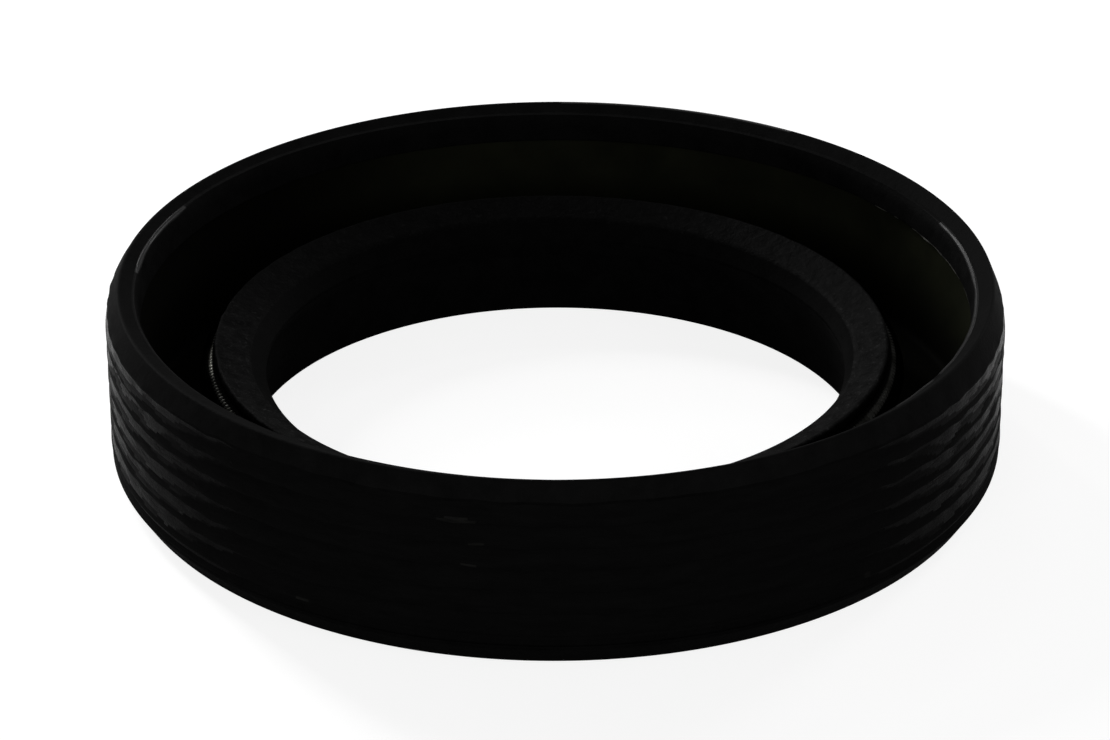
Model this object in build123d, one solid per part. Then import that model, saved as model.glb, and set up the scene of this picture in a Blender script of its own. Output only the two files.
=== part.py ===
"""Radial shaft seal with one lip, rubber covered and ribbed outside, for a 32 mm shaft in a 47 mm bore.

The seal lies on its air side: the origin is the middle of the bottom face, and +Z is the shaft's axis,
pointing to the oil side, where the garter spring sits behind the lip. Lengths are in millimetres.
Three bodies of revolution make it: a pressed steel case, the rubber moulded round it, and the spring.
Small roundings are drawn as bevels, and the spring's coil with flat sides, so that the solids stay light.
"""
import os
from math import radians, sqrt, tan

from build123d import *

# What the seal is ordered by
shaft_diameter = 32.0
housing_diameter = 47.0
seal_width = 10.0

# Steel case: a pressed ring of L-shaped section, its open end towards the oil side
steel_thickness = 0.8
case_bend_bevel = 0.35      # inside the bend
case_lip_gap = 2.05         # from the sealing edge out to the flange's inner edge

# Rubber over the case
skin_outside = 0.75         # from the case to the tops of the ribs
skin_bottom = 0.7
skin_top = 0.7
wrap_thickness = 0.27       # inside the case's open end, at the wrap's lower edge
wrap_depth = 1.95
wrap_draft = 4.5            # degrees, opening towards the oil side

# Rim: a bevel that leads the seal into its bore, a narrow crown, and a slope into the mouth
top_bevel_radial = 0.65
top_bevel_axial = 1.03
crown_width = 0.15
mouth_slope = 26.0          # degrees below the horizontal
mouth_edge_bevel = 0.18

# Lead-in at the air side
bottom_bevel_radial = 0.75
bottom_bevel_axial = 1.15

# Ribs round the outside: equal lands with shallow V grooves between them
rib_count = 6
rib_pitch = 1.2
rib_depth = 0.14
groove_width = 0.7

# Sealing lip
lip_interference = 1.4      # on the diameter, before the seal is fitted
lip_edge_height = 4.8
lip_edge_land = 0.16
air_side_angle = 30.0       # degrees from the axis
air_side_depth = 0.75
oil_side_angle = 34.5       # degrees from the axis
oil_side_height = 0.94
head_width = 2.4            # from the sealing edge out to the crest
crest_rise = 0.72
crest_bevel = 0.12

# Garter spring and the groove that holds it
coil_diameter = 1.9
coil_sides = 8
spring_from_edge = 2.2      # from the sealing edge out to the middle of the wire coil
spring_above_edge = 0.05
spring_clearance = 0.05
heel_width = 2.3            # from the sealing edge out to the heel's tip
heel_thickness = 0.35       # under the spring, at the tip
heel_slope = 30.0           # degrees, the underside falling towards the sleeve

# Flexing sleeve and the bottom cover round the bore
sleeve_thickness = 1.0
bore_clearance = 1.05       # from the sealing edge out to the bottom cover's bore
bore_wall_height = 1.35
foot_height = 0.9           # slope where the sleeve runs out over the case's flange
foot_width = 1.1

# Radii and heights that follow from the sizes above
outer_radius = housing_diameter / 2
lip_radius = (shaft_diameter - lip_interference) / 2
case_outer_radius = outer_radius - skin_outside
case_inner_radius = case_outer_radius - steel_thickness
flange_inner_radius = lip_radius + case_lip_gap
flange_top = skin_bottom + steel_thickness
case_top = seal_width - skin_top
rib_top = seal_width - top_bevel_axial

spring_radius = lip_radius + spring_from_edge
spring_height = lip_edge_height + spring_above_edge
groove_radius = coil_diameter / 2 + spring_clearance


def bevelled_face(corners):
    """A face from (point, bevel) pairs; a bevel cuts its corner back by that length along both sides."""
    points = []
    for index, (corner, bevel) in enumerate(corners):
        here = Vector(corner)
        if bevel:
            before = Vector(corners[index - 1][0])
            after = Vector(corners[(index + 1) % len(corners)][0])
            points.append(here + (before - here).normalized() * bevel)
            points.append(here + (after - here).normalized() * bevel)
        else:
            points.append(here)
    return make_face(Polyline(points, close=True))


def case_section():
    """The L-shaped section of the pressed case."""
    # this bevel outside the bend keeps the sheet's thickness through it
    outside_bevel = case_bend_bevel + (2 - sqrt(2)) * steel_thickness
    return bevelled_face([
        ((flange_inner_radius, skin_bottom), 0),
        ((case_outer_radius, skin_bottom), outside_bevel),
        ((case_outer_radius, case_top), 0),
        ((case_inner_radius, case_top), 0),
        ((case_inner_radius, flange_top), case_bend_bevel),
        ((flange_inner_radius, flange_top), 0),
    ])


def rim_outline():
    """Corners from the air-side bevel, up the outside and over the rim to the wrap's end."""
    wrap_end = seal_width - wrap_depth
    wrap_radius = case_inner_radius - wrap_thickness
    crown_radius = outer_radius - top_bevel_radial - crown_width
    # the mouth's slope and the drafted inner wall meet at one corner
    slope, draft = tan(radians(mouth_slope)), tan(radians(wrap_draft))
    slope_drop = (crown_radius - wrap_radius + wrap_end * draft) * slope
    mouth_height = (seal_width - slope_drop) / (1 - draft * slope)
    mouth_radius = wrap_radius + (mouth_height - wrap_end) * draft
    return [
        ((outer_radius - bottom_bevel_radial, 0), 0),
        ((outer_radius, bottom_bevel_axial), 0),
        ((outer_radius, rib_top), 0),
        ((outer_radius - top_bevel_radial, seal_width), 0),
        ((crown_radius, seal_width), 0),
        ((mouth_radius, mouth_height), mouth_edge_bevel),
        ((wrap_radius, wrap_end), 0),
    ]


def lip_outline():
    """Corners from the foot on the case's flange, up the sleeve and round the lip to the bore."""
    edge_low = lip_edge_height - lip_edge_land / 2
    edge_high = lip_edge_height + lip_edge_land / 2
    waist_radius = lip_radius + air_side_depth
    waist_height = edge_low - air_side_depth / tan(radians(air_side_angle))
    sleeve_outer_radius = waist_radius + sleeve_thickness
    crest_outer_radius = lip_radius + head_width
    oil_side_radius = lip_radius + oil_side_height * tan(radians(oil_side_angle))
    head_top = edge_high + oil_side_height
    heel_radius = lip_radius + heel_width
    heel_bottom = spring_height - groove_radius - heel_thickness
    heel_root = heel_bottom - (heel_radius - sleeve_outer_radius) * tan(radians(heel_slope))
    bore_radius = lip_radius + bore_clearance
    return [
        ((sleeve_outer_radius + foot_width, flange_top), 0),
        ((sleeve_outer_radius, flange_top + foot_height), 0),
        ((sleeve_outer_radius, heel_root), 0),
        ((heel_radius, heel_bottom), 0),
        ((heel_radius, spring_height), 0),
        ((crest_outer_radius, spring_height), 0),
        ((crest_outer_radius, head_top + crest_rise), crest_bevel),
        ((oil_side_radius, head_top), 0),
        ((lip_radius, edge_high), 0),
        ((lip_radius, edge_low), 0),
        ((waist_radius, waist_height), 0),
        ((bore_radius, bore_wall_height), 0),
        ((bore_radius, 0), 0),
    ]


def rib_groove(height):
    """One V groove between two ribs."""
    half = groove_width / 2
    corners = [
        (outer_radius - rib_depth, height),
        (outer_radius, height - half),
        (outer_radius + rib_depth, height),
        (outer_radius, height + half),
    ]
    return make_face(Polyline(corners, close=True))


def coil_section(radius):
    """The coil's round section, or the groove's, with flat sides."""
    return Pos(spring_radius, spring_height) * RegularPolygon(radius, coil_sides)


def rubber_section():
    """Everything the mould fills: the outline, less the case, the rib grooves and the spring's groove."""
    case_middle_radius = (case_outer_radius + case_inner_radius) / 2
    flange_middle = skin_bottom + steel_thickness / 2
    rim, lip = rim_outline(), lip_outline()
    # between the wrap and the foot the outline runs inside the steel, which is cut away below
    wrap_end = rim[-1][0][1]
    foot_end = lip[0][0][0]
    inside_steel = [
        ((case_middle_radius, wrap_end), 0),
        ((case_middle_radius, flange_middle), 0),
        ((foot_end, flange_middle), 0),
    ]
    section = bevelled_face(rim + inside_steel + lip)
    section -= case_section()
    section -= coil_section(groove_radius)
    for groove in range(1, rib_count + 1):
        section -= rib_groove(rib_top - groove * rib_pitch)
    return section


def ring(section):
    """Turn a section, drawn as radius and height, once round the seal's axis."""
    return revolve(Plane.XZ * section, Axis.Z)


def main():
    nodes = {
        "rubber_body": ring(rubber_section()),
        "steel_case": ring(case_section()),
        # the closely wound coil, joined end to end, as the tube that its turns fill
        "garter_spring": ring(coil_section(coil_diameter / 2)),
    }
    os.makedirs("parts", exist_ok=True)
    for name, solid in nodes.items():
        export_step(solid, f"parts/{name}.step")


main()
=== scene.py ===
"""Looks for a rubber covered radial shaft seal: moulded rubber, a coated steel case and a wound garter spring."""
import math

import bpy
import numpy as np
from mathutils import Matrix, Vector


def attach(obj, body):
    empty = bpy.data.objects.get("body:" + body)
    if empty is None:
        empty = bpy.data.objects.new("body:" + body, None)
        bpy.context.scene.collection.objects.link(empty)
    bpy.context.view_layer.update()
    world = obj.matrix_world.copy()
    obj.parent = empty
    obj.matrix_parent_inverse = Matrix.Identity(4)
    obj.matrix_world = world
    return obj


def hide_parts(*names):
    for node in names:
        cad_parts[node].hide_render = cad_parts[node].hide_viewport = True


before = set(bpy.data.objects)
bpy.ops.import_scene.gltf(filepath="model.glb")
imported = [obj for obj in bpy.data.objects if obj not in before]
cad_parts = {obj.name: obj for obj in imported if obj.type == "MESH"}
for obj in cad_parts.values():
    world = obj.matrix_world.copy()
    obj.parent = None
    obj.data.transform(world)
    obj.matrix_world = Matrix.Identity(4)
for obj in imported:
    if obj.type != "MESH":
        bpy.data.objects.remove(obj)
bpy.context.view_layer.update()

# Lengths are in mm unless a line says otherwise, and turns round the axis start at +X and go towards +Y.
MM = 0.001
FULL_TURN = 2 * math.pi
STEPS_ROUND = 384           # divisions of the moulded rings round the axis
# along X: how far the moulded head and the spring in it sit off the axis; in the solids they are on it
HEAD_SHIFT = -0.2
GLINT_PLACE = (-17.97, -1.55, 5.75)     # where the spring's wire is paler, a painted highlight
# from the middle of the spring's ring: painted shade out to the first, next to the lip, and none past the second
SHADE_END, SHADE_CLEAR = 17.82, 17.94


# ---------------------------------------------------------------- colours and nodes

def linear(hex_colour):
    """A linear RGBA colour from an sRGB hex value."""
    value = hex_colour.lstrip("#")
    channels = [int(value[i:i + 2], 16) / 255 for i in (0, 2, 4)]
    return [c / 12.92 if c <= 0.04045 else ((c + 0.055) / 1.055) ** 2.4 for c in channels] + [1.0]


def add(tree, kind, inputs=None, stops=(), **settings):
    """Add a node with its settings; an input is a value, or another node's output to link.

    The settings go first, because they decide which inputs a node has. Stops are the (position, colour)
    pairs of a colour ramp, from its low end to its high end.
    """
    made = tree.nodes.new(kind)
    for name, value in settings.items():
        setattr(made, name, value)
    for name, value in (inputs or {}).items():
        if isinstance(value, bpy.types.NodeSocket):
            tree.links.new(value, made.inputs[name])
        else:
            made.inputs[name].default_value = value
    for index, (position, colour) in enumerate(stops):
        element = made.color_ramp.elements[index] if index < 2 else made.color_ramp.elements.new(position)
        element.position, element.color = position, colour
    return made


def new_material(name):
    """An empty node material and its node tree."""
    material = bpy.data.materials.new(name)
    material.use_nodes = True
    material.node_tree.nodes.clear()
    return material, material.node_tree


def grey(value):
    """A ramp's stop that stands for a number, such as a roughness."""
    return [value, value, value, 1.0]


def moulded_rubber(name, dark, pale, specular):
    """Nitrile rubber as it leaves the mould: near black and matt, with the mould's fine grain."""
    material, tree = new_material(name)
    place = add(tree, "ShaderNodeTexCoord").outputs["Object"]
    # grain of the mould, about 0.15 mm from pit to pit
    grain = add(tree, "ShaderNodeTexNoise", {"Vector": place, "Scale": 6500.0, "Detail": 3.0, "Roughness": 0.6})
    # flow of the rubber in the mould, patches about 1.5 mm wide
    patches = add(tree, "ShaderNodeTexNoise", {"Vector": place, "Scale": 650.0, "Detail": 6.0, "Roughness": 0.7})
    flow_bump = add(tree, "ShaderNodeBump", {
        "Height": patches.outputs["Fac"], "Strength": 1.0, "Distance": 0.06 * MM})
    bump = add(tree, "ShaderNodeBump", {
        "Height": grain.outputs["Fac"], "Strength": 0.6, "Distance": 0.02 * MM,
        "Normal": flow_bump.outputs["Normal"]})
    colour = add(tree, "ShaderNodeValToRGB", {"Fac": patches.outputs["Fac"]},
                 stops=[(0.3, linear(dark)), (0.7, linear(pale))])
    rough = add(tree, "ShaderNodeValToRGB", {"Fac": patches.outputs["Fac"]},
                stops=[(0.3, grey(0.5)), (0.7, grey(0.65))])
    shader = add(tree, "ShaderNodeBsdfPrincipled", {
        "Base Color": colour.outputs["Color"], "Roughness": rough.outputs["Color"], "Specular IOR Level": specular,
        "Normal": bump.outputs["Normal"]})
    add(tree, "ShaderNodeOutputMaterial", {"Surface": shader.outputs["BSDF"]})
    return material


def ribbed_rubber(name, dark, pale, smooth, dull, specular):
    """The same rubber on the ribbed wall: rub marks along the ribs, and specks of grit."""
    material, tree = new_material(name)
    place = add(tree, "ShaderNodeTexCoord").outputs["Object"]
    along = add(tree, "ShaderNodeMapping", {"Vector": place, "Scale": (1.0, 1.0, 5.0)}).outputs["Vector"]
    # rub marks about 2 mm long and 0.4 mm high, and grain about 0.15 mm
    streaks = add(tree, "ShaderNodeTexNoise", {"Vector": along, "Scale": 500.0, "Detail": 5.0, "Roughness": 0.65})
    grain = add(tree, "ShaderNodeTexNoise", {"Vector": place, "Scale": 6500.0, "Detail": 2.0, "Roughness": 0.6})
    # grit 0.2 mm across, one speck every 2 mm or so
    grit = add(tree, "ShaderNodeTexVoronoi", {"Vector": place, "Scale": 500.0})
    raised = add(tree, "ShaderNodeValToRGB", {"Fac": grit.outputs["Distance"]},
                 stops=[(0.02, grey(1.0)), (0.06, grey(0.0))])
    streak_bump = add(tree, "ShaderNodeBump", {
        "Height": streaks.outputs["Fac"], "Strength": 1.0, "Distance": 0.06 * MM})
    grit_bump = add(tree, "ShaderNodeBump", {
        "Height": raised.outputs["Color"], "Strength": 1.0, "Distance": 0.04 * MM,
        "Normal": streak_bump.outputs["Normal"]})
    bump = add(tree, "ShaderNodeBump", {
        "Height": grain.outputs["Fac"], "Strength": 0.5, "Distance": 0.02 * MM,
        "Normal": grit_bump.outputs["Normal"]})
    colour = add(tree, "ShaderNodeValToRGB", {"Fac": streaks.outputs["Fac"]},
                 stops=[(0.3, linear(dark)), (0.7, linear(pale))])
    rough = add(tree, "ShaderNodeValToRGB", {"Fac": streaks.outputs["Fac"]},
                stops=[(0.3, grey(smooth)), (0.7, grey(dull))])
    shader = add(tree, "ShaderNodeBsdfPrincipled", {
        "Base Color": colour.outputs["Color"], "Roughness": rough.outputs["Color"], "Specular IOR Level": specular,
        "Normal": bump.outputs["Normal"]})
    add(tree, "ShaderNodeOutputMaterial", {"Surface": shader.outputs["BSDF"]})
    return material


def trimmed_rubber():
    """The lip's head where the flash is trimmed: matt and mottled, specked where the cut is rough, and darkened
    towards +Y as painted shade.
    """
    material, tree = new_material("trimmed_nitrile_rubber")
    place = add(tree, "ShaderNodeTexCoord").outputs["Object"]
    # roughness of the cut, about 0.25 mm
    grain = add(tree, "ShaderNodeTexNoise", {"Vector": place, "Scale": 4200.0, "Detail": 4.0, "Roughness": 0.75})
    # the knife's drag, patches about 0.8 mm wide
    drag = add(tree, "ShaderNodeTexNoise", {"Vector": place, "Scale": 1300.0, "Detail": 3.0, "Roughness": 0.6})
    drag_bump = add(tree, "ShaderNodeBump", {"Height": drag.outputs["Fac"], "Strength": 1.0, "Distance": 0.09 * MM})
    bump = add(tree, "ShaderNodeBump", {
        "Height": grain.outputs["Fac"], "Strength": 0.8, "Distance": 0.05 * MM,
        "Normal": drag_bump.outputs["Normal"]})
    skin = add(tree, "ShaderNodeValToRGB", {"Fac": drag.outputs["Fac"]},
               stops=[(0.35, linear("#020202")), (0.65, linear("#0b0b0b"))])
    specks = add(tree, "ShaderNodeValToRGB", {"Fac": grain.outputs["Fac"]},
                 stops=[(0.57, grey(0.0)), (0.75, grey(1.0))])
    cut = add(tree, "ShaderNodeMix", {
        "Factor": specks.outputs["Color"], "A": skin.outputs["Color"], "B": linear("#2a2a2a")}, data_type="RGBA")
    # painted shade: towards +Y the head is darkened to #050505 and keeps 0.3 of its own colour, and towards -Y it
    # keeps all of it
    axes = add(tree, "ShaderNodeSeparateXYZ", {"Vector": place}).outputs
    unshaded_share = add(tree, "ShaderNodeMapRange", {
        "Value": axes["Y"], "From Min": 6.0 * MM, "From Max": 2.0 * MM, "To Min": 0.3},
        interpolation_type="SMOOTHSTEP")
    colour = add(tree, "ShaderNodeMix", {
        "Factor": unshaded_share.outputs[0], "A": linear("#050505"), "B": cut.outputs["Result"]}, data_type="RGBA")
    shader = add(tree, "ShaderNodeBsdfPrincipled", {
        "Base Color": colour.outputs["Result"], "Roughness": 0.6, "Specular IOR Level": 0.005,
        "Normal": bump.outputs["Normal"]})
    add(tree, "ShaderNodeOutputMaterial", {"Surface": shader.outputs["BSDF"]})
    return material


def burnished_rubber(name, smooth, dull, shine):
    """Rubber rubbed smooth along an exposed edge: the same black, but it takes a clear highlight in places."""
    material, tree = new_material(name)
    place = add(tree, "ShaderNodeTexCoord").outputs["Object"]
    # where the edge was touched and where it wasn't, a few mm at a time
    touch = add(tree, "ShaderNodeTexNoise", {"Vector": place, "Scale": 260.0, "Detail": 5.0, "Roughness": 0.7})
    rough = add(tree, "ShaderNodeValToRGB", {"Fac": touch.outputs["Fac"]},
                stops=[(0.35, grey(smooth)), (0.65, grey(dull))])
    shader = add(tree, "ShaderNodeBsdfPrincipled", {
        "Base Color": linear("#0a0a0a"), "Roughness": rough.outputs["Color"], "Specular IOR Level": shine})
    add(tree, "ShaderNodeOutputMaterial", {"Surface": shader.outputs["BSDF"]})
    return material


def torn_glint_rubber():
    """The thin edge of torn flash: paler than the skin, partly because it is rough and holds dust and partly as a
    painted highlight along the wrap's end.
    """
    material, tree = new_material("torn_rubber_painted_glint")
    place = add(tree, "ShaderNodeTexCoord").outputs["Object"]
    # tears about 0.7 mm long
    tears = add(tree, "ShaderNodeTexNoise", {"Vector": place, "Scale": 1500.0, "Detail": 3.0, "Roughness": 0.6})
    colour = add(tree, "ShaderNodeValToRGB", {"Fac": tears.outputs["Fac"]},
                 stops=[(0.35, linear("#141413")), (0.65, linear("#4a4a46"))])
    shader = add(tree, "ShaderNodeBsdfPrincipled", {
        "Base Color": colour.outputs["Color"], "Roughness": 0.6, "Specular IOR Level": 0.05})
    add(tree, "ShaderNodeOutputMaterial", {"Surface": shader.outputs["BSDF"]})
    return material


def coated_steel():
    """Pressed steel under the olive bonding layer that holds the rubber, with painted light and shade: olive high on
    the wall towards +X and +Y, and darkened elsewhere.
    """
    material, tree = new_material("bonding_coated_steel")
    place = add(tree, "ShaderNodeTexCoord").outputs["Object"]
    # clouds in the olive, a few mm wide
    cloud = add(tree, "ShaderNodeTexNoise", {"Vector": place, "Scale": 260.0, "Detail": 5.0, "Roughness": 0.6})
    # painted light and shade: the olive is kept high on the wall and towards +X and +Y, and towards the bottom and
    # towards -X and -Y it is darkened to #050504
    axes = add(tree, "ShaderNodeSeparateXYZ", {"Vector": place}).outputs
    side = add(tree, "ShaderNodeMath", {0: axes["X"], 1: axes["Y"]}, operation="ADD")
    side = add(tree, "ShaderNodeMapRange", {
        "Value": side.outputs[0], "From Min": -2 * MM, "From Max": 20 * MM}, interpolation_type="SMOOTHSTEP")
    height = add(tree, "ShaderNodeMapRange", {
        "Value": axes["Z"], "From Min": 1.0 * MM, "From Max": 6.5 * MM}, interpolation_type="SMOOTHSTEP")
    painted_light_share = add(tree, "ShaderNodeMath", {0: side.outputs[0], 1: height.outputs[0]}, operation="MULTIPLY")
    olive = add(tree, "ShaderNodeValToRGB", {"Fac": cloud.outputs["Fac"]},
                stops=[(0.3, linear("#0e0f0a")), (0.7, linear("#171810"))])
    colour = add(tree, "ShaderNodeMix", {
        "Factor": painted_light_share.outputs[0], "A": linear("#050504"), "B": olive.outputs["Color"]}, data_type="RGBA")
    shader = add(tree, "ShaderNodeBsdfPrincipled", {
        "Base Color": colour.outputs["Result"], "Roughness": 0.7, "Specular IOR Level": 0.004})
    add(tree, "ShaderNodeOutputMaterial", {"Surface": shader.outputs["BSDF"]})
    return material


def spring_wire():
    """Drawn spring wire under a film of dark oil, with painted shade next to the lip, and a painted highlight in one
    place, where the wire is paler.
    """
    material, tree = new_material("oiled_spring_wire")
    place = add(tree, "ShaderNodeTexCoord").outputs["Object"]
    # the film of oil, uneven over about 1 mm
    film = add(tree, "ShaderNodeTexNoise", {"Vector": place, "Scale": 900.0, "Detail": 3.0, "Roughness": 0.6})
    oiled = add(tree, "ShaderNodeValToRGB", {"Fac": film.outputs["Fac"]},
                stops=[(0.35, linear("#0b0b0a")), (0.7, linear("#181817"))])
    # painted highlight: the wire is paler over about 3 mm, where the lamp's glint falls
    glint_patch = add(tree, "ShaderNodeVectorMath", {0: place, 1: Vector(GLINT_PLACE) * MM}, operation="DISTANCE")
    glint_patch = add(tree, "ShaderNodeMapRange", {
        "Value": glint_patch.outputs["Value"], "From Min": 2.1 * MM, "From Max": 0.6 * MM}, interpolation_type="SMOOTHSTEP")
    wire = add(tree, "ShaderNodeMix", {
        "Factor": glint_patch.outputs[0], "A": oiled.outputs["Color"], "B": linear("#4b4b47")}, data_type="RGBA")
    # how far out from the middle of the spring's ring, which settles where the painted shade lies
    level = add(tree, "ShaderNodeMapping", {
        "Vector": place, "Location": (-HEAD_SHIFT * MM, 0, 0), "Scale": (1.0, 1.0, 0.0)})
    away = add(tree, "ShaderNodeVectorMath", {0: level.outputs["Vector"]}, operation="LENGTH")
    out_of_shade = add(tree, "ShaderNodeMapRange", {
        "Value": away.outputs["Value"], "From Min": SHADE_END * MM, "From Max": SHADE_CLEAR * MM},
        interpolation_type="SMOOTHSTEP").outputs[0]
    # painted shade: the wire next to the lip is darkened to #040404 and made rough
    colour = add(tree, "ShaderNodeMix", {
        "Factor": out_of_shade, "A": linear("#040404"), "B": wire.outputs["Result"]}, data_type="RGBA")
    rough = add(tree, "ShaderNodeMapRange", {"Value": out_of_shade, "To Min": 0.6, "To Max": 0.15})
    shader = add(tree, "ShaderNodeBsdfPrincipled", {
        "Base Color": colour.outputs["Result"], "Metallic": 1.0, "Roughness": rough.outputs[0],
        "Specular Tint": linear("#b8b8b8")})
    add(tree, "ShaderNodeOutputMaterial", {"Surface": shader.outputs["BSDF"]})
    return material


# ---------------------------------------------------------------- sections and rings

ROUNDING_STEP = 18          # degrees of a rounding to one of its runs
SHORT_RUN = 0.04            # kept at each end of a rounding, so that smooth shading stays on the rounding


def rounded(corners):
    """Points of a closed section from (radius, height, rounding) corners."""
    points = []
    for index, (r, z, rounding) in enumerate(corners):
        here = Vector((r, z))
        if not rounding:
            points.append(here)
            continue
        back = (Vector(corners[index - 1][:2]) - here).normalized()
        on = (Vector(corners[(index + 1) % len(corners)][:2]) - here).normalized()
        half = back.angle(on) / 2
        reach = rounding / math.tan(half)
        centre = here + (back + on).normalized() * (rounding / math.sin(half))
        first, last = here + back * reach - centre, here + on * reach - centre
        sweep = first.angle_signed(last)
        runs = max(2, math.ceil(abs(math.degrees(sweep)) / ROUNDING_STEP))
        points.append(centre + first + back * min(SHORT_RUN, reach))
        for step in range(runs + 1):
            points.append(centre + Matrix.Rotation(-sweep * step / runs, 2) @ first)
        points.append(centre + last + on * min(SHORT_RUN, reach))
    return points


def subdivided(points, longest):
    """The section with its long runs divided; longest(r, z) is the longest run there."""
    out = []
    for index, here in enumerate(points):
        on = points[(index + 1) % len(points)]
        parts = max(1, math.ceil((on - here).length / longest(*here.lerp(on, 0.5))))
        out += [here.lerp(on, part / parts) for part in range(parts)]
    return out


def closed_grid(rows, columns):
    """Four-sided faces over rows of points: the last row joins the first, and so does the last column."""
    i, j = np.meshgrid(np.arange(rows), np.arange(columns), indexing="ij")
    next_i, next_j = (i + 1) % rows, (j + 1) % columns
    return np.stack([i * columns + j, next_i * columns + j, next_i * columns + next_j, i * columns + next_j],
                    -1).reshape(-1, 4)


def new_object(name, points, faces):
    """A smooth shaded object in the scene, from an array of points and one of faces."""
    mesh = bpy.data.meshes.new(name)
    mesh.from_pydata((points.reshape(-1, 3) * MM).tolist(), [], faces.tolist())
    mesh.shade_smooth()
    made = bpy.data.objects.new(name, mesh)
    bpy.context.scene.collection.objects.link(made)
    return made


def ring(name, section, shape=None):
    """A closed ring turned from a section; shape(angle, radius, height) may move its points."""
    around = np.arange(STEPS_ROUND) * (FULL_TURN / STEPS_ROUND)
    a, r = np.meshgrid(around, [point[0] for point in section], indexing="ij")
    a, z = np.meshgrid(around, [point[1] for point in section], indexing="ij")
    if shape:
        r, z = shape(a, r, z)
    points = np.stack([r * np.cos(a), r * np.sin(a), z], -1)
    return new_object(name, points, closed_grid(STEPS_ROUND, len(section)))


def wobble(seed, lowest, highest, count=14):
    """A smooth closed wave round the ring, about -1 to 1, as a function of the angle.

    It adds up count waves, each of lowest to highest - 1 crests to the turn. The seed keeps it the same from run
    to run.
    """
    draw = np.random.default_rng(seed)
    turns = draw.integers(lowest, highest, count)
    phase = draw.uniform(0, FULL_TURN, count)
    share = draw.uniform(0.4, 1.0, count)
    scale = 1.6 / math.sqrt((share ** 2).sum())
    return lambda a: scale * sum(h * np.sin(k * a + p) for k, p, h in zip(turns, phase, share)) / math.sqrt(2)


def blend(value, low, high):
    """0 below low, 1 above high, and a smooth rise between."""
    t = np.clip((value - low) / (high - low), 0, 1)
    return t * t * (3 - 2 * t)


# ---------------------------------------------------------------- the rubber

OUTER, WIDTH = 23.5, 10.0
CROWN = WIDTH + 0.067       # where the bevel and the mouth's slope would meet; rounded, the crown's top is at WIDTH
WRAP_END = 8.05             # height of the wrap's lower end, inside the case
BORE_R = 16.35

# the steel case, which the rubber lies on
CASE_OUTER, CASE_INNER, FLANGE_INNER = 22.75, 21.95, 17.35
CASE_BOTTOM, FLANGE_TOP, CASE_TOP = 0.7, 1.5, 9.3

# the lip's edge has a narrow land; the head over it runs out to the crest, and the heel lies under the spring.
# The edge is a little inside the solids' 15.3
LIP_EDGE_R, LIP_EDGE_LOW, LIP_EDGE_HIGH = 15.25, 4.72, 4.88
HEAD_INNER, HEAD_INNER_TOP = 15.946, 5.82
HEAD_OUTER, HEAD_OUTER_TOP, HEEL_R = 17.7, 6.54, 17.6

# the spring's coil, and the groove round it; the solids' coil has 17.5, 4.85 and 0.95
SPRING_R, SPRING_Z, COIL_R = 17.58, 4.87, 0.97
GROOVE_R = COIL_R + 0.05
GROOVE_RUNS = 12

RIB_TOP, RIB_PITCH, RIB_COUNT = 8.97, 1.2, 6
RIB_FOOT = 1.1              # from the groove over a rib down to the rib's foot
# one rib, as how far below the groove over it, and how far inside the outline there; the solids' grooves are
# 0.14 deep
RIB_SHAPE = (
    (1.105, 0.006), (1.09, 0.0), (0.95, 0.004), (0.8, 0.013), (0.66, 0.031), (0.52, 0.056), (0.4, 0.084),
    (0.28, 0.118), (0.18, 0.149), (0.08, 0.182), (0.02, 0.2))
HALF_RIB = RIB_SHAPE[5:]    # the lowest rib, cut off by the bevel under it


def rib_points():
    """Up the ribbed wall: each rib has a crisp foot, then rounds back over its shoulder into the groove above."""
    points = []
    lowest = RIB_TOP - RIB_COUNT * RIB_PITCH
    for rib in range(RIB_COUNT + 1):
        top = lowest + rib * RIB_PITCH
        shape = RIB_SHAPE if rib else HALF_RIB
        # the top rib leans only half as much, because no groove lies over it
        lean_share = 0.5 if rib == RIB_COUNT else 1.0
        points += [(OUTER - lean * lean_share, top - down, 0) for down, lean in shape]
        if rib < RIB_COUNT:
            points += [(OUTER - 0.2, top + 0.04, 0), (OUTER - 0.17, top + 0.06, 0)]
    return points


def groove_arc():
    """Points round the spring's groove, from the heel's tip to the head's outer edge."""
    first = -math.acos((HEEL_R - SPRING_R) / GROOVE_R)
    last = math.acos((HEAD_OUTER - SPRING_R) / GROOVE_R) - FULL_TURN
    angles = [first + (last - first) * step / GROOVE_RUNS for step in range(GROOVE_RUNS + 1)]
    return [(SPRING_R + GROOVE_R * math.cos(angle), SPRING_Z + GROOVE_R * math.sin(angle), 0) for angle in angles]


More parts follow.
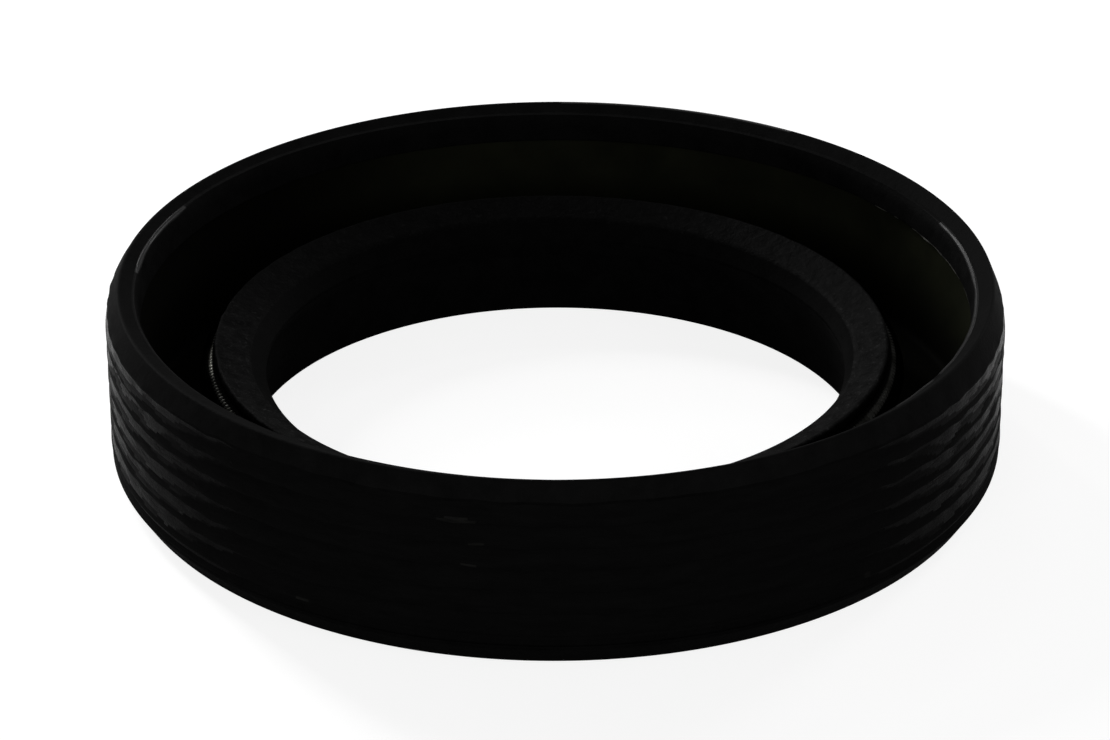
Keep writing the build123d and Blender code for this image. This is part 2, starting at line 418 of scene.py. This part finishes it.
rubber_corners = (
    # the bottom, from the bore to the lead-in
    [(BORE_R, 0, 0.12), (22.75, 0, 0.3), (OUTER, 1.15, 0.25)]
    + rib_points()
    # the bevel, the crown, the mouth's slope and its edge
    + [(OUTER - 0.1, 9.11, 0), (OUTER - 0.11, 9.126, 0), (22.807, CROWN, 0.176), (22.06, 9.6, 0.035),
       (21.98, 9.63, 0.035), (21.82, 9.52, 0.25)]
    # the wrap's end, and back along the faces that lie on the case
    + [(21.68, WRAP_END, 0.1), (CASE_INNER, WRAP_END, 0), (CASE_INNER, CASE_TOP, 0), (CASE_OUTER, CASE_TOP, 0),
       (CASE_OUTER, 1.52, 0), (21.93, CASE_BOTTOM, 0), (FLANGE_INNER, CASE_BOTTOM, 0), (FLANGE_INNER, FLANGE_TOP, 0)]
    # the foot on the flange, the flexing sleeve and the heel
    + [(18.15, FLANGE_TOP, 0), (17.05, 2.4, 0.5), (17.05, 3.18, 0.2), (HEEL_R, 3.5, 0.08)]
    + groove_arc()
    # over the head, down to the lip's edge, and on along the air side to the bore
    + [(HEAD_OUTER, HEAD_OUTER_TOP, 0.14), (HEAD_INNER, HEAD_INNER_TOP, 0.6), (LIP_EDGE_R, LIP_EDGE_HIGH, 0.05),
       (LIP_EDGE_R, LIP_EDGE_LOW, 0.05), (16.05, 3.42, 0.5), (BORE_R, 1.35, 0.3)]
)
rib_waves = [wobble(seed, 8, 90, 24) for seed in range(20, 21 + RIB_COUNT)]
rim_wave, crest_wave = wobble(31, 5, 40), wobble(32, 12, 90)
flash_wave, touch_wave = wobble(33, 40, 95), wobble(34, 8, 70)
wear_waves = [wobble(seed, 5, 44, 16) for seed in range(40, 41 + RIB_COUNT)]


def arc(a, first, last, fade=3.0):
    """1 between two turns round the axis in degrees, 0 outside them, with soft ends."""
    turn = (np.degrees(a) - first + fade) % 360
    return blend(turn, 0, fade) * (1 - blend(turn, last - first + fade, last - first + 2 * fade))


def flash(a):
    """Where a thin flash of rubber stands at the wrap's lower edge: 0 to 1 over a short arc, and ragged."""
    return (arc(a, 10, 25) + 0.5 * arc(a, 31, 35) + 0.6 * arc(a, 1, 5, 2.0)) * (0.75 + 0.25 * flash_wave(a))


def rubbed(a):
    """How far the mouth's edge is rubbed smooth: well on two sides, a little between them, and not elsewhere."""
    wear = (arc(a, 158, 174, 6.0) + 0.3 * arc(a, 182, 212, 8.0) + 0.15 * arc(a, 220, 318, 8.0)
            + arc(a, 326, 376, 10.0))
    return np.clip(wear * (0.85 + 0.25 * touch_wave(a)), 0, 1)


PLUS_X_SAG, MINUS_X_SAG = 0.48, 0.2


def sagged(a, r, z):
    """How far the ribbed wall sits below its place in the solids, where it is level all round."""
    # most of it lies round the +X side, and it grows from the bottom up
    from_plus_x = (a + 0.1 + math.pi) % FULL_TURN - math.pi
    risen = np.clip((z - 1) / 8, 0, 1) ** 0.7
    # a smaller dip in the upper ribs near the -X side
    from_minus_x = (a - math.radians(192)) / 0.4
    upper = blend(z, 7.9, 8.8)
    # it fades out towards the crown, and the inside has none
    outside = np.clip((WIDTH - z) / 0.874, 0, 1) * blend(r, 22.7, 22.8)
    return (PLUS_X_SAG * np.exp(-(from_plus_x / 0.7) ** 2) * risen
            + MINUS_X_SAG * np.exp(-from_minus_x ** 2) * upper) * outside


RIB_WANDER, RIB_DENT = 0.045, 0.02      # up or down along each groove, and inward
RIB_REACH = 0.3             # how far above and below its groove a rib's wander is felt
RIDGE_HEIGHT, RIDGE_REACH, RIDGE_PROUD = 9.42, 0.16, 0.03
MOUTH_EDGE_R, MOUTH_EDGE_HEIGHT = 21.93, 9.52
MOUTH_SPREAD, MOUTH_WAVER = 0.1, 0.008
FLASH_IN, FLASH_DOWN = 0.06, 0.05
CREST_WAVER = 0.015


def uneven(a, r, z):
    """The rubber's unevenness, which the solids don't have; none of it goes past the nominal outside."""
    r, z = r.copy(), z.copy()
    sag = sagged(a, r, z)
    # the ribs wander, and are dented in places
    wall = blend(r, 23.2, 23.3) * blend(z, 1.6, 1.7)
    for rib in range(RIB_COUNT):
        groove = RIB_TOP - rib * RIB_PITCH
        near = np.exp(-((z - groove) / RIB_REACH) ** 2) * wall
        z += RIB_WANDER * near * rib_waves[rib](a)
        r -= RIB_DENT * near * (1 + rib_waves[rib + 1](a))
    # the mould's two halves meet on this part of the bevel, and one stands a hair prouder
    ridge = np.exp(-((z - RIDGE_HEIGHT) / RIDGE_REACH) ** 2) * blend(r, 22.9, 23.0)
    r += RIDGE_PROUD * ridge * arc(a, 160, 192.4, 0.5)
    # the mouth's rubbed edge narrows to a tenth where it isn't rubbed; the mouth is lower at +X, higher at -X
    mouth = blend(-r, -22.5, -22.1) * blend(z, 9.0, 9.4)
    width = 0.1 + 0.9 * rubbed(a)
    edge = (r < 22.04) * (r > 21.8) * (z > 9.38)
    r += edge * (width - 1) * (r - MOUTH_EDGE_R)
    z += edge * (width - 1) * (z - MOUTH_EDGE_HEIGHT)
    z += r * (0.0015 - 0.008 * np.cos(a)) * mouth
    # the +Y half of the mouth stands wider towards its sides, and all of it wavers
    r += (MOUTH_SPREAD * np.cos(a) ** 2 * blend(np.sin(a), 0.0, 0.2) + MOUTH_WAVER * rim_wave(a)) * mouth
    # the thin flash hangs from the wrap's end
    wrap_end = (r < 21.75) * (r > 21.5) * (1 - blend(z, 8.06, 8.12)) * blend(z, 7.9, 8.0)
    r -= FLASH_IN * wrap_end * flash(a)
    z -= FLASH_DOWN * wrap_end * flash(a)
    # the head's outer edge wavers, and the head sits off the axis
    crest = blend(r, 17.4, 17.65) * blend(z, 6.2, 6.4) * (1 - blend(r, 18.0, 18.5))
    r += CREST_WAVER * crest * crest_wave(a)
    head = blend(r, 15.3, 16.0) * (1 - blend(r, 17.9, 18.0)) * blend(z, 2.4, 3.4)
    r += HEAD_SHIFT * np.cos(a) * head
    return np.minimum(r, OUTER), np.clip(z - sag, 0, WIDTH)


# the rubber's finishes, as the numbers of its material slots
(MOULDED, HANDLED, RIBBED, WORN, RUBBED, TRIMMED, BURNISHED, TORN_GLINT, PAINTED_GLINT, MOUTH, LIP, POLISHED) = range(12)

# painted highlights, pale marks on the ribs' feet: the rib counted from the top, the first and last degree along it,
# and how far up from its foot
PAINTED_GLINTS = (
    (0, 256, 260.6, 0.15), (0, 257, 259.8, 0.3), (1, 260, 261.6, 0.15), (2, 259, 260.4, 0.15),
    (5, 237.4, 238.8, 0.15), (5, 310, 311.2, 0.3), (2, 50, 52, 0.15), (1, 95, 98, 0.15), (4, 121, 123, 0.3))


def between(value, low, high):
    """Whether each value lies between the two limits."""
    return (value > low) & (value < high)


def areas(around, radial, high):
    """Which finish each face of the rubber has, from where its middle lies in the plain section."""
    finish = np.full(around.shape, MOULDED, np.int32)
    finish[between(radial, 22.66, 23.42) & (high > 9.1)] = HANDLED
    wall = (radial > 23.2) & between(high, 1.6, 9.0)
    finish[wall] = RIBBED
    # the ribs are worn at the two sides, most of all just under each groove
    gripped = blend(np.abs(np.cos(around)), 0.62, 0.86)
    for rib, wave in enumerate(wear_waves):
        below = RIB_TOP - rib * RIB_PITCH - high
        worn_down = (0.72 + 0.12 * wave(around)) * gripped
        rubbed_down = (0.4 + 0.04 * rib + 0.12 * wave(around + 1)) * gripped
        finish[wall & between(below, 0, worn_down)] = WORN
        finish[wall & between(below, 0, rubbed_down)] = RUBBED
        # the painted highlights: pale marks on the ribs' feet
        for place, first, last, tall in PAINTED_GLINTS:
            if place == rib:
                glint_band = between(below, RIB_FOOT - tall, RIB_FOOT) & (arc(around, first, last, 0.1) > 0.5)
                finish[wall & glint_band] = PAINTED_GLINT
    # the head, and the slope from it down to the lip's edge
    finish[between(radial, 15.9, 17.9) & (high > 4.9)] = TRIMMED
    finish[between(radial, 15.2, 15.9) & between(high, 4.7, HEAD_INNER_TOP)] = LIP
    # the mouth's slope, its rubbed edge, and the crown above it where it is polished
    finish[between(radial, 22.05, 22.66) & (high > 9.55)] = MOUTH
    finish[between(radial, 21.8, 22.05) & (high > 9.4) & (rubbed(around) > 0.4)] = BURNISHED
    finish[between(radial, 22.6, 22.92) & (high > 9.9) & (arc(around, 56, 88) > 0.5)] = POLISHED
    # the flash under the wrap's end, pale, which is partly a painted highlight
    finish[between(radial, 21.5, 21.75) & between(high, 7.8, 8.1) & (flash(around) > 0.3)] = TORN_GLINT
    return finish


def run_length(r, z):
    """The longest run of the rubber's section at a place: short on the bevel, where the ridge is."""
    return 0.14 if z > 9.2 and r > 22.87 else 1.0


rubber_section = subdivided(rounded(rubber_corners), run_length)
rubber = ring("rubber_cover", rubber_section, shape=uneven)
# in the order of the finishes' numbers
for finish in (
        moulded_rubber("moulded_nitrile_rubber", "#040404", "#0a0a0a", 0.006),
        moulded_rubber("handled_nitrile_rubber", "#0a0a0a", "#111111", 0.003),
        ribbed_rubber("ribbed_nitrile_rubber", "#080808", "#0c0c0c", 0.5, 0.62, 0.003),
        ribbed_rubber("worn_nitrile_rubber", "#050505", "#090909", 0.36, 0.5, 0.01),
        ribbed_rubber("rubbed_nitrile_rubber", "#020202", "#050505", 0.2, 0.34, 0.027),
        trimmed_rubber(),
        burnished_rubber("burnished_rubber_edge", 0.3, 0.5, 0.026),
        torn_glint_rubber(),
        # pale marks on the ribs' feet, as painted highlights
        ribbed_rubber("painted_glint_rubber", "#080808", "#1b1b1a", 0.5, 0.62, 0.004),
        moulded_rubber("mouth_nitrile_rubber", "#0a0a0a", "#111111", 0.0015),
        moulded_rubber("lip_nitrile_rubber", "#040404", "#090909", 0.003),
        burnished_rubber("polished_rubber_crown", 0.14, 0.26, 0.11)):
    rubber.data.materials.append(finish)
# the middle of each face, in the plain section and round the axis
plain = np.array([tuple(point) for point in rubber_section])
middles = (plain + np.roll(plain, -1, 0)) / 2
middle_turns = (np.arange(STEPS_ROUND) + 0.5) * (FULL_TURN / STEPS_ROUND)
around, radial = np.meshgrid(middle_turns, middles[:, 0], indexing="ij")
around, high = np.meshgrid(middle_turns, middles[:, 1], indexing="ij")
rubber.data.polygons.foreach_set("material_index", areas(around, radial, high).ravel())
rubber.data.update()
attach(rubber, "root")
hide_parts("rubber_body")


# ---------------------------------------------------------------- the steel case

case_corners = [
    (FLANGE_INNER, CASE_BOTTOM, 0), (CASE_OUTER, CASE_BOTTOM, 1.2), (CASE_OUTER, CASE_TOP, 0),
    (CASE_INNER, CASE_TOP, 0), (CASE_INNER, FLANGE_TOP, 0.4), (FLANGE_INNER, FLANGE_TOP, 0)]
case = ring("pressed_case", subdivided(rounded(case_corners), lambda r, z: 1.5))
case.data.materials.append(coated_steel())
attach(case, "root")
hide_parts("steel_case")


# ---------------------------------------------------------------- the garter spring

WIRE = 0.33                 # the wire's diameter
COIL_MEAN = COIL_R - WIRE / 2
TURNS = 334                 # so many turns fill the ring, each lying against the next
STEPS_TURN, STEPS_WIRE = 12, 8          # divisions of one turn, and round the wire


def wound_spring():
    """The closely wound coil as its wire, a closed helix round the ring."""
    count = TURNS * STEPS_TURN
    t = np.arange(count) * (FULL_TURN / STEPS_TURN)
    around = t / TURNS
    out = np.stack([np.cos(around), np.sin(around), np.zeros(count)], -1)
    up = np.array([[0.0, 0.0, 1.0]])
    along = np.stack([-np.sin(around), np.cos(around), np.zeros(count)], -1)
    spoke = np.cos(t)[:, None] * out + np.sin(t)[:, None] * up
    middle = SPRING_R * out + np.array([[HEAD_SHIFT, 0, SPRING_Z]]) + COIL_MEAN * spoke
    slope = COIL_MEAN * (-np.sin(t)[:, None] * out + np.cos(t)[:, None] * up) + along * (SPRING_R / TURNS)
    slope /= np.linalg.norm(slope, axis=1)[:, None]
    side = np.cross(slope, spoke)
    w = np.arange(STEPS_WIRE) * (FULL_TURN / STEPS_WIRE)
    points = (middle[:, None, :] + WIRE / 2 * (np.cos(w)[None, :, None] * spoke[:, None, :]
                                               + np.sin(w)[None, :, None] * side[:, None, :]))
    # the faces are turned over, because round the wire the points run the other way
    return new_object("wound_spring", points, closed_grid(count, STEPS_WIRE)[:, [0, 3, 2, 1]])


spring = wound_spring()
spring.data.materials.append(spring_wire())
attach(spring, "root")
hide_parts("garter_spring")


# ---------------------------------------------------------------- floor, lights and camera

FLOOR_REACH = 1500          # from the middle to each side
LAMP_DISTANCE = 320


def studio_floor():
    """A pale floor, white to the eye with a faint shadow; reflections see it white with its whole shadow."""
    material, tree = new_material("studio_floor")
    rays = add(tree, "ShaderNodeLightPath").outputs
    # what lights the object from below
    plain = add(tree, "ShaderNodeBsdfDiffuse", {"Color": linear("#e4e4e4")})
    # what the eye sees: mostly white by itself, and partly lit, so that it keeps the shadow
    lit = add(tree, "ShaderNodeBsdfDiffuse", {"Color": linear("#8a8a8a")})
    glow = add(tree, "ShaderNodeEmission", {"Color": linear("#ffffff"), "Strength": 0.85})
    seen = add(tree, "ShaderNodeAddShader", {0: lit.outputs[0], 1: glow.outputs[0]})
    # what shiny and clear things show
    mirrored = add(tree, "ShaderNodeBsdfDiffuse", {"Color": linear("#ffffff")})
    direct = add(tree, "ShaderNodeMixShader", {0: rays["Is Camera Ray"], 1: plain.outputs[0], 2: seen.outputs[0]})
    shiny = add(tree, "ShaderNodeMath", {0: rays["Is Glossy Ray"], 1: rays["Is Transmission Ray"]},
                operation="MAXIMUM")
    surface = add(tree, "ShaderNodeMixShader", {0: shiny.outputs[0], 1: direct.outputs[0], 2: mirrored.outputs[0]})
    add(tree, "ShaderNodeOutputMaterial", {"Surface": surface.outputs[0]})
    corners = np.array([(-1, -1, 0), (1, -1, 0), (1, 1, 0), (-1, 1, 0)]) * FLOOR_REACH
    floor = new_object("floor", corners, np.array([(0, 1, 2, 3)]))
    floor.data.materials.append(material)


def studio_world():
    """A dim grey room, white where it is looked at."""
    world = bpy.data.worlds.new("studio")
    bpy.context.scene.world = world
    world.use_nodes = True
    tree = world.node_tree
    tree.nodes.clear()
    rays = add(tree, "ShaderNodeLightPath").outputs
    room = add(tree, "ShaderNodeBackground", {"Color": linear("#ffffff"), "Strength": 0.15})
    white = add(tree, "ShaderNodeBackground", {"Color": linear("#ffffff"), "Strength": 1.0})
    seen = add(tree, "ShaderNodeMath", {0: rays["Is Camera Ray"], 1: rays["Is Glossy Ray"]}, operation="MAXIMUM")
    seen = add(tree, "ShaderNodeMath", {0: seen.outputs[0], 1: rays["Is Transmission Ray"]}, operation="MAXIMUM")
    surface = add(tree, "ShaderNodeMixShader", {0: seen.outputs[0], 1: room.outputs[0], 2: white.outputs[0]})
    add(tree, "ShaderNodeOutputWorld", {"Surface": surface.outputs[0]})


def softbox(name, turn, rise, size, power):
    """A rectangular soft light aimed at the seal, at a turn round it and a rise above the floor in degrees.

    The size is its width and height, and the power is in watts.
    """
    lamp = bpy.data.lights.new(name, "AREA")
    lamp.shape = "RECTANGLE"
    lamp.size, lamp.size_y = size[0] * MM, size[1] * MM
    lamp.energy = power
    light = bpy.data.objects.new(name, lamp)
    turn, rise = math.radians(turn), math.radians(rise)
    toward = Vector((math.cos(turn) * math.cos(rise), math.sin(turn) * math.cos(rise), math.sin(rise)))
    light.location = toward * LAMP_DISTANCE * MM + Vector((0, 0, WIDTH / 2 * MM))
    light.rotation_euler = toward.to_track_quat("Z", "Y").to_euler()
    bpy.context.scene.collection.objects.link(light)


def camera():
    """A long lens, a little above the seal."""
    made = bpy.data.cameras.new("camera")
    made.sensor_width = 36.0
    made.lens = 135.3
    made.clip_start = 0.01
    place = Vector((-0.03, -196.75, 103.78)) * MM
    aim = Vector((-0.03, -0.142, 4.418)) * MM
    turn = Matrix.Rotation(math.radians(-0.17), 4, "Z")
    look = (aim - place).to_track_quat("-Z", "Y").to_matrix().to_4x4()
    eye = bpy.data.objects.new("camera", made)
    eye.matrix_world = Matrix.Translation(place) @ look @ turn
    bpy.context.scene.collection.objects.link(eye)
    bpy.context.scene.camera = eye


studio_floor()
studio_world()
softbox("left_softbox", 128, 26, (40, 170), 1.0)
softbox("right_softbox", 50, 20, (60, 90), 0.3)
softbox("back_softbox", 110, 24.4, (18, 18), 0.12)
softbox("high_softbox", 97, 49, (70, 20), 0.04)
softbox("front_softbox", -105, 18, (200, 200), 0.28)
softbox("side_softbox", -35, 20, (120, 120), 0.14)
camera()
bpy.context.scene.view_settings.view_transform = "Standard"
